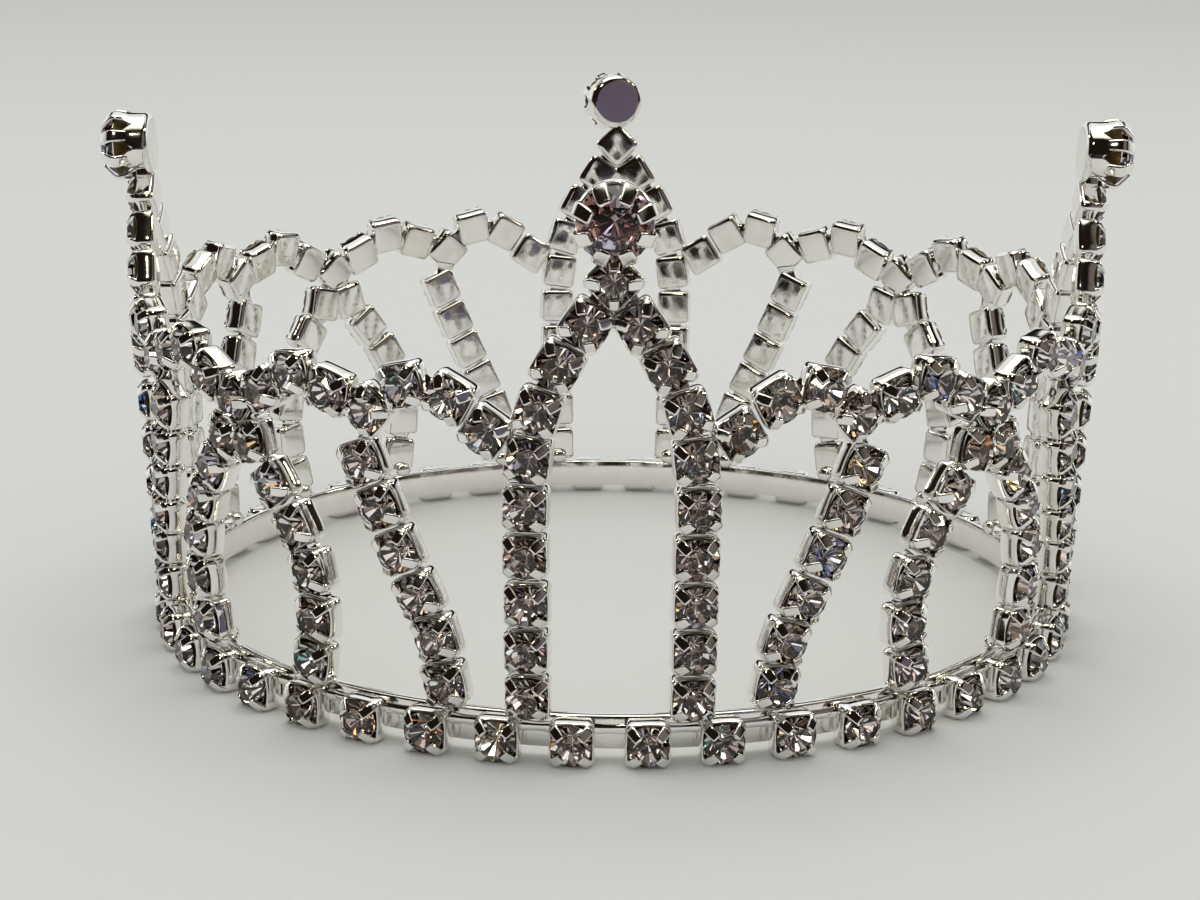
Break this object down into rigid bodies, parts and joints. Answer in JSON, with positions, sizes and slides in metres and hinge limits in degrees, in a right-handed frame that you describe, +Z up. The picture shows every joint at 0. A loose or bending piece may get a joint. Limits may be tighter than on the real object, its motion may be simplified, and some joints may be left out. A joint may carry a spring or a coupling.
{
  "type": "jewelled crown",
  "caption": "Small round crown of clear crystal cup chain on a thin silver band, with peaks, scallops, legs and arches; worn on the head or set on a cake.",
  "frame": {"origin": "middle of the ring, on the floor that the crown stands on", "axes": "+Z up, -Y towards the front peak, +X to the right seen from the front"},
  "size_m": [0.0846, 0.0848, 0.042],
  "materials": {
    "silver_plate": "bright silver plating on brass cups, mirror smooth with softened edges",
    "small_crystal": "clear cut glass chatons with a silver foil back, facets show grey, smoky brown and small coloured sparks",
    "large_crystal": "clear cut glass chaton with a silver foil back, pinkish brown and blue facets"
  },
  "bodies": {
    "root": {"base_ring": "silver_plate", "peak_frame_front": "silver_plate", "peak_frame_right": "silver_plate", "peak_frame_back": "silver_plate", "peak_frame_left": "silver_plate", "side_frame_front_right": "silver_plate", "side_frame_back_right": "silver_plate", "side_frame_back_left": "silver_plate", "side_frame_front_left": "silver_plate", "tip_stone_front": "large_crystal", "tip_stone_right": "large_crystal", "tip_stone_back": "large_crystal", "tip_stone_left": "large_crystal", "peak_stones_front": "small_crystal", "peak_stones_right": "small_crystal", "peak_stones_back": "small_crystal", "peak_stones_left": "small_crystal", "scallop_stones_front_right": "small_crystal", "scallop_stones_back_right": "small_crystal", "scallop_stones_back_left": "small_crystal", "scallop_stones_front_left": "small_crystal", "leg_stones_front_right": "small_crystal", "leg_stones_back_right": "small_crystal", "leg_stones_back_left": "small_crystal", "leg_stones_front_left": "small_crystal", "arch_stones_front_right": "small_crystal", "arch_stones_back_right": "small_crystal", "arch_stones_back_left": "small_crystal", "arch_stones_front_left": "small_crystal"}
  },
  "joints": []
}
